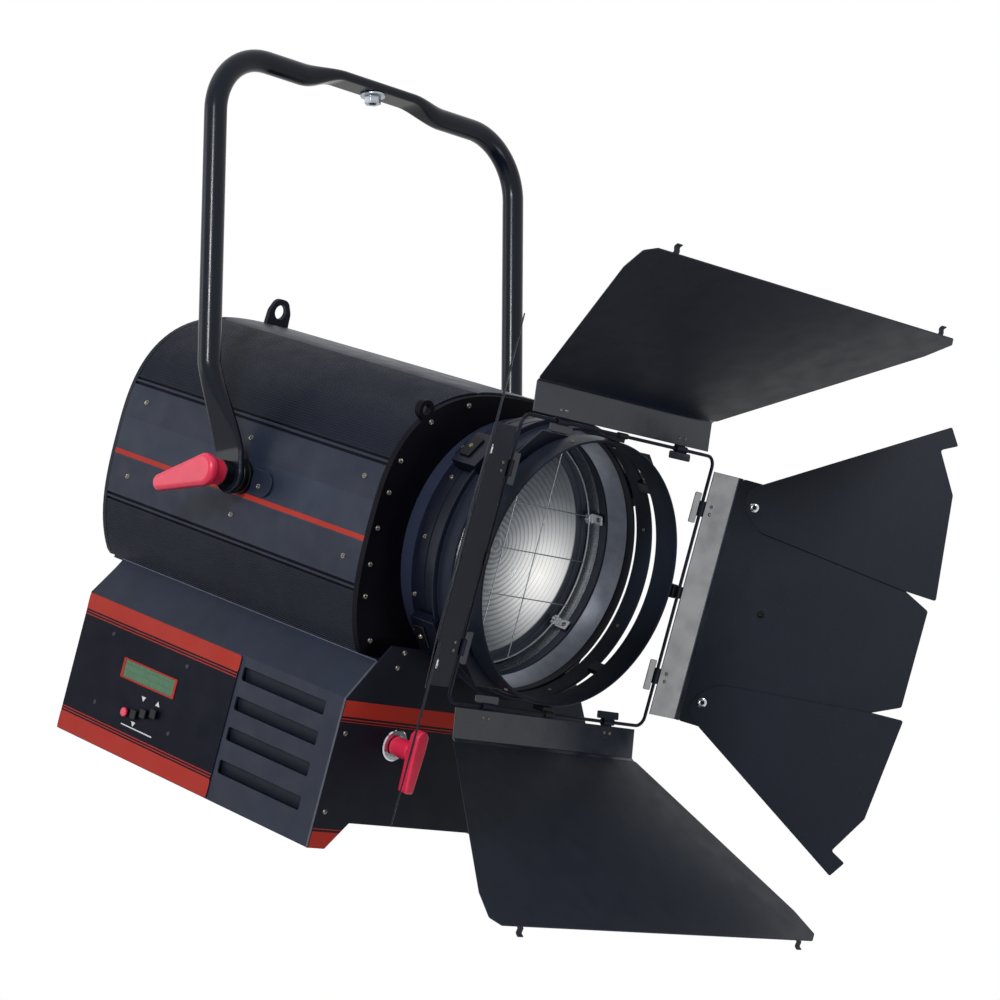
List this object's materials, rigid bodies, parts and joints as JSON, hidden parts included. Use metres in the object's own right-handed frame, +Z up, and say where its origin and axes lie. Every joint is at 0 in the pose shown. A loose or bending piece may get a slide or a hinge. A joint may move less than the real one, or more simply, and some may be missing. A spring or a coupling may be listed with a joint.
{
  "type": "led fresnel light",
  "caption": "Studio LED fresnel spotlight: ribbed housing on a tilting tube yoke, round fresnel lens, base with display and keys, rotating barn door with folding leaves.",
  "frame": {"origin": "middle of the flattened top face of the yoke, where the hanging clamp bolts on", "axes": "+Z up through the clamp hole, +X the way the beam points when the head is level, +Y to the left of the beam"},
  "size_m": [1.0209, 0.6873, 1.0591],
  "materials": {
    "powder_black": "fine black powder coat",
    "powder_grey": "dark grey powder coat",
    "crown_grey": "smooth grey powder coat",
    "flange_black": "matt black powder coat",
    "leaf_black": "heat-proof matt black coat",
    "ring_blue": "satin blue-black coat",
    "yoke_black": "black powder coat on steel pipe",
    "zinc": "bright zinc plate",
    "chrome": "polished",
    "red_plastic": "moulded, satin",
    "black_plastic": "moulded, fine grain",
    "overlay_film": "printed polyester film",
    "display_green": "display window",
    "clear_glass": "clear, stepped",
    "aluminium": "mill finish",
    "led_yellow": "phosphor"
  },
  "bodies": {
    "yoke": {"yoke_tube": "yoke_black", "clamp_nut": "zinc"},
    "head": {"accessory_ring": "ring_blue", "base_bottom": "powder_black", "base_front_plate": "flange_black", "base_rear_plate": "powder_black", "base_side_far": "powder_black", "base_side_near": "powder_black", "chassis_plate": "aluminium", "clip_far_lower": "powder_black", "clip_near_lower": "powder_black", "clip_near_upper": "powder_black", "control_overlay": "overlay_film", "data_sockets": "black_plastic", "display_module": "display_green", "driver_box": "aluminium", "fan_frame": "black_plastic", "fresnel_lens": "clear_glass", "friction_disc": "black_plastic", "front_flange": "flange_black", "guide_rod_far": "chrome", "guide_rod_near": "chrome", "knob_escutcheon": "chrome", "lens_cell": "aluminium", "lens_tube": "powder_black", "lower_rib_far": "powder_black", "lower_rib_near": "powder_black", "pivot_bolt_far": "zinc", "pivot_bolt_near": "zinc", "power_inlet": "black_plastic", "rear_plate": "powder_black", "side_panel_far": "powder_grey", "side_panel_near": "powder_grey", "tilt_stop_plate": "powder_grey", "top_shell": "crown_grey", "upper_rib_far": "powder_black", "upper_rib_near": "powder_black", "wire_guard": "zinc"},
    "tilt_lock": {"tilt_lock_handle": "red_plastic"},
    "barn_door": {"barndoor_ring": "ring_blue", "hinge_frame": "powder_black"},
    "top_leaf": {"leaf_top": "leaf_black"},
    "bottom_leaf": {"leaf_bottom": "leaf_black"},
    "far_leaf": {"leaf_far": "leaf_black"},
    "near_leaf": {"leaf_near": "leaf_black"},
    "far_lower_ear": {"ear_far_lower": "leaf_black"},
    "far_upper_ear": {"ear_far_upper": "leaf_black"},
    "near_upper_ear": {"ear_near_upper": "leaf_black"},
    "near_lower_ear": {"ear_near_lower": "leaf_black"},
    "latch": {"accessory_latch": "powder_black"},
    "carriage": {"focus_carriage": "aluminium", "led_array": "led_yellow", "heat_sink": "aluminium"},
    "focus_drive": {"focus_knob": "red_plastic", "focus_screw": "zinc"},
    "fan": {"fan_rotor": "black_plastic"},
    "menu_button": {"menu_key": "red_plastic"},
    "down_button": {"down_key": "black_plastic"},
    "enter_button": {"enter_key": "black_plastic"},
    "up_button": {"up_key": "black_plastic"}
  },
  "joints": [
    {"name": "head_tilt", "type": "hinge", "parent": "yoke", "child": "head", "pos_m": [0, 0, -0.522], "axis": [0, 1, 0], "range_deg": [-65, 70]},
    {"name": "tilt_lock_turn", "type": "hinge", "parent": "yoke", "child": "tilt_lock", "pos_m": [0, 0, -0.522], "axis": [0, 1, 0], "range_deg": [-45, 45]},
    {"name": "barn_door_rotation", "type": "hinge", "parent": "head", "child": "barn_door", "pos_m": [0.22074, 0, -0.60261], "axis": [0.9393, 0, -0.343], "continuous": true},
    {"name": "top_leaf_hinge", "type": "hinge", "parent": "barn_door", "child": "top_leaf", "pos_m": [0.40804, 0, -0.4996], "axis": [0, -1, 0], "range_deg": [-55, 55]},
    {"name": "bottom_leaf_hinge", "type": "hinge", "parent": "barn_door", "child": "bottom_leaf", "pos_m": [0.29759, 0, -0.80207], "axis": [0, 1, 0], "range_deg": [-50, 60]},
    {"name": "far_leaf_hinge", "type": "hinge", "parent": "barn_door", "child": "far_leaf", "pos_m": [0.35281, 0.161, -0.65083], "axis": [0.343, 0, 0.9393], "range_deg": [-50, 65]},
    {"name": "near_leaf_hinge", "type": "hinge", "parent": "barn_door", "child": "near_leaf", "pos_m": [0.35281, -0.161, -0.65083], "axis": [-0.343, 0, -0.9393], "range_deg": [-70, 45]},
    {"name": "far_lower_ear_fold", "type": "hinge", "parent": "far_leaf", "child": "far_lower_ear", "pos_m": [0.35066, 0.20645, -0.77428], "axis": [-0.394, 0.9078, 0.1439], "range_deg": [-45, 15]},
    {"name": "far_upper_ear_fold", "type": "hinge", "parent": "far_leaf", "child": "far_upper_ear", "pos_m": [0.43072, 0.20645, -0.55504], "axis": [0.394, -0.9078, -0.1439], "range_deg": [-45, 15]},
    {"name": "near_upper_ear_fold", "type": "hinge", "parent": "near_leaf", "child": "near_upper_ear", "pos_m": [0.41309, -0.2178, -0.54861], "axis": [-0.6711, -0.6997, 0.2451], "range_deg": [-45, 15]},
    {"name": "near_lower_ear_fold", "type": "hinge", "parent": "near_leaf", "child": "near_lower_ear", "pos_m": [0.33303, -0.2178, -0.76784], "axis": [0.6711, 0.6997, -0.2451], "range_deg": [-45, 15]},
    {"name": "latch_lift", "type": "hinge", "parent": "head", "child": "latch", "pos_m": [0.29963, 0.12846, -0.52067], "axis": [0.2666, -0.6293, 0.73], "range_deg": [0, 60]},
    {"name": "focus_travel", "type": "slide", "parent": "head", "child": "carriage", "axis": [0.9393, 0, -0.343], "range_m": [-0.06, 0.06]},
    {"name": "focus_turn", "type": "hinge", "parent": "head", "child": "focus_drive", "pos_m": [0.13877, -0.108, -0.82711], "axis": [0.9393, 0, -0.343], "range_deg": [-450, 450]},
    {"name": "fan_spin", "type": "hinge", "parent": "head", "child": "fan", "pos_m": [0.2276, 0, -0.58382], "axis": [0.9393, 0, -0.343], "continuous": true},
    {"name": "menu_key_press", "type": "slide", "parent": "head", "child": "menu_button", "axis": [0, 1, 0], "range_m": [0, 0.0012], "stiffness_N_per_m": 400, "springref_m": -0.0005},
    {"name": "down_key_press", "type": "slide", "parent": "head", "child": "down_button", "axis": [0, 1, 0], "range_m": [0, 0.0012], "stiffness_N_per_m": 400, "springref_m": -0.0005},
    {"name": "enter_key_press", "type": "slide", "parent": "head", "child": "enter_button", "axis": [0, 1, 0], "range_m": [0, 0.0012], "stiffness_N_per_m": 400, "springref_m": -0.0005},
    {"name": "up_key_press", "type": "slide", "parent": "head", "child": "up_button", "axis": [0, 1, 0], "range_m": [0, 0.0012], "stiffness_N_per_m": 400, "springref_m": -0.0005}
  ],
  "couplings": [
    {"joint": "focus_turn", "follows": "focus_travel", "rad_per_m": 130.9}
  ]
}
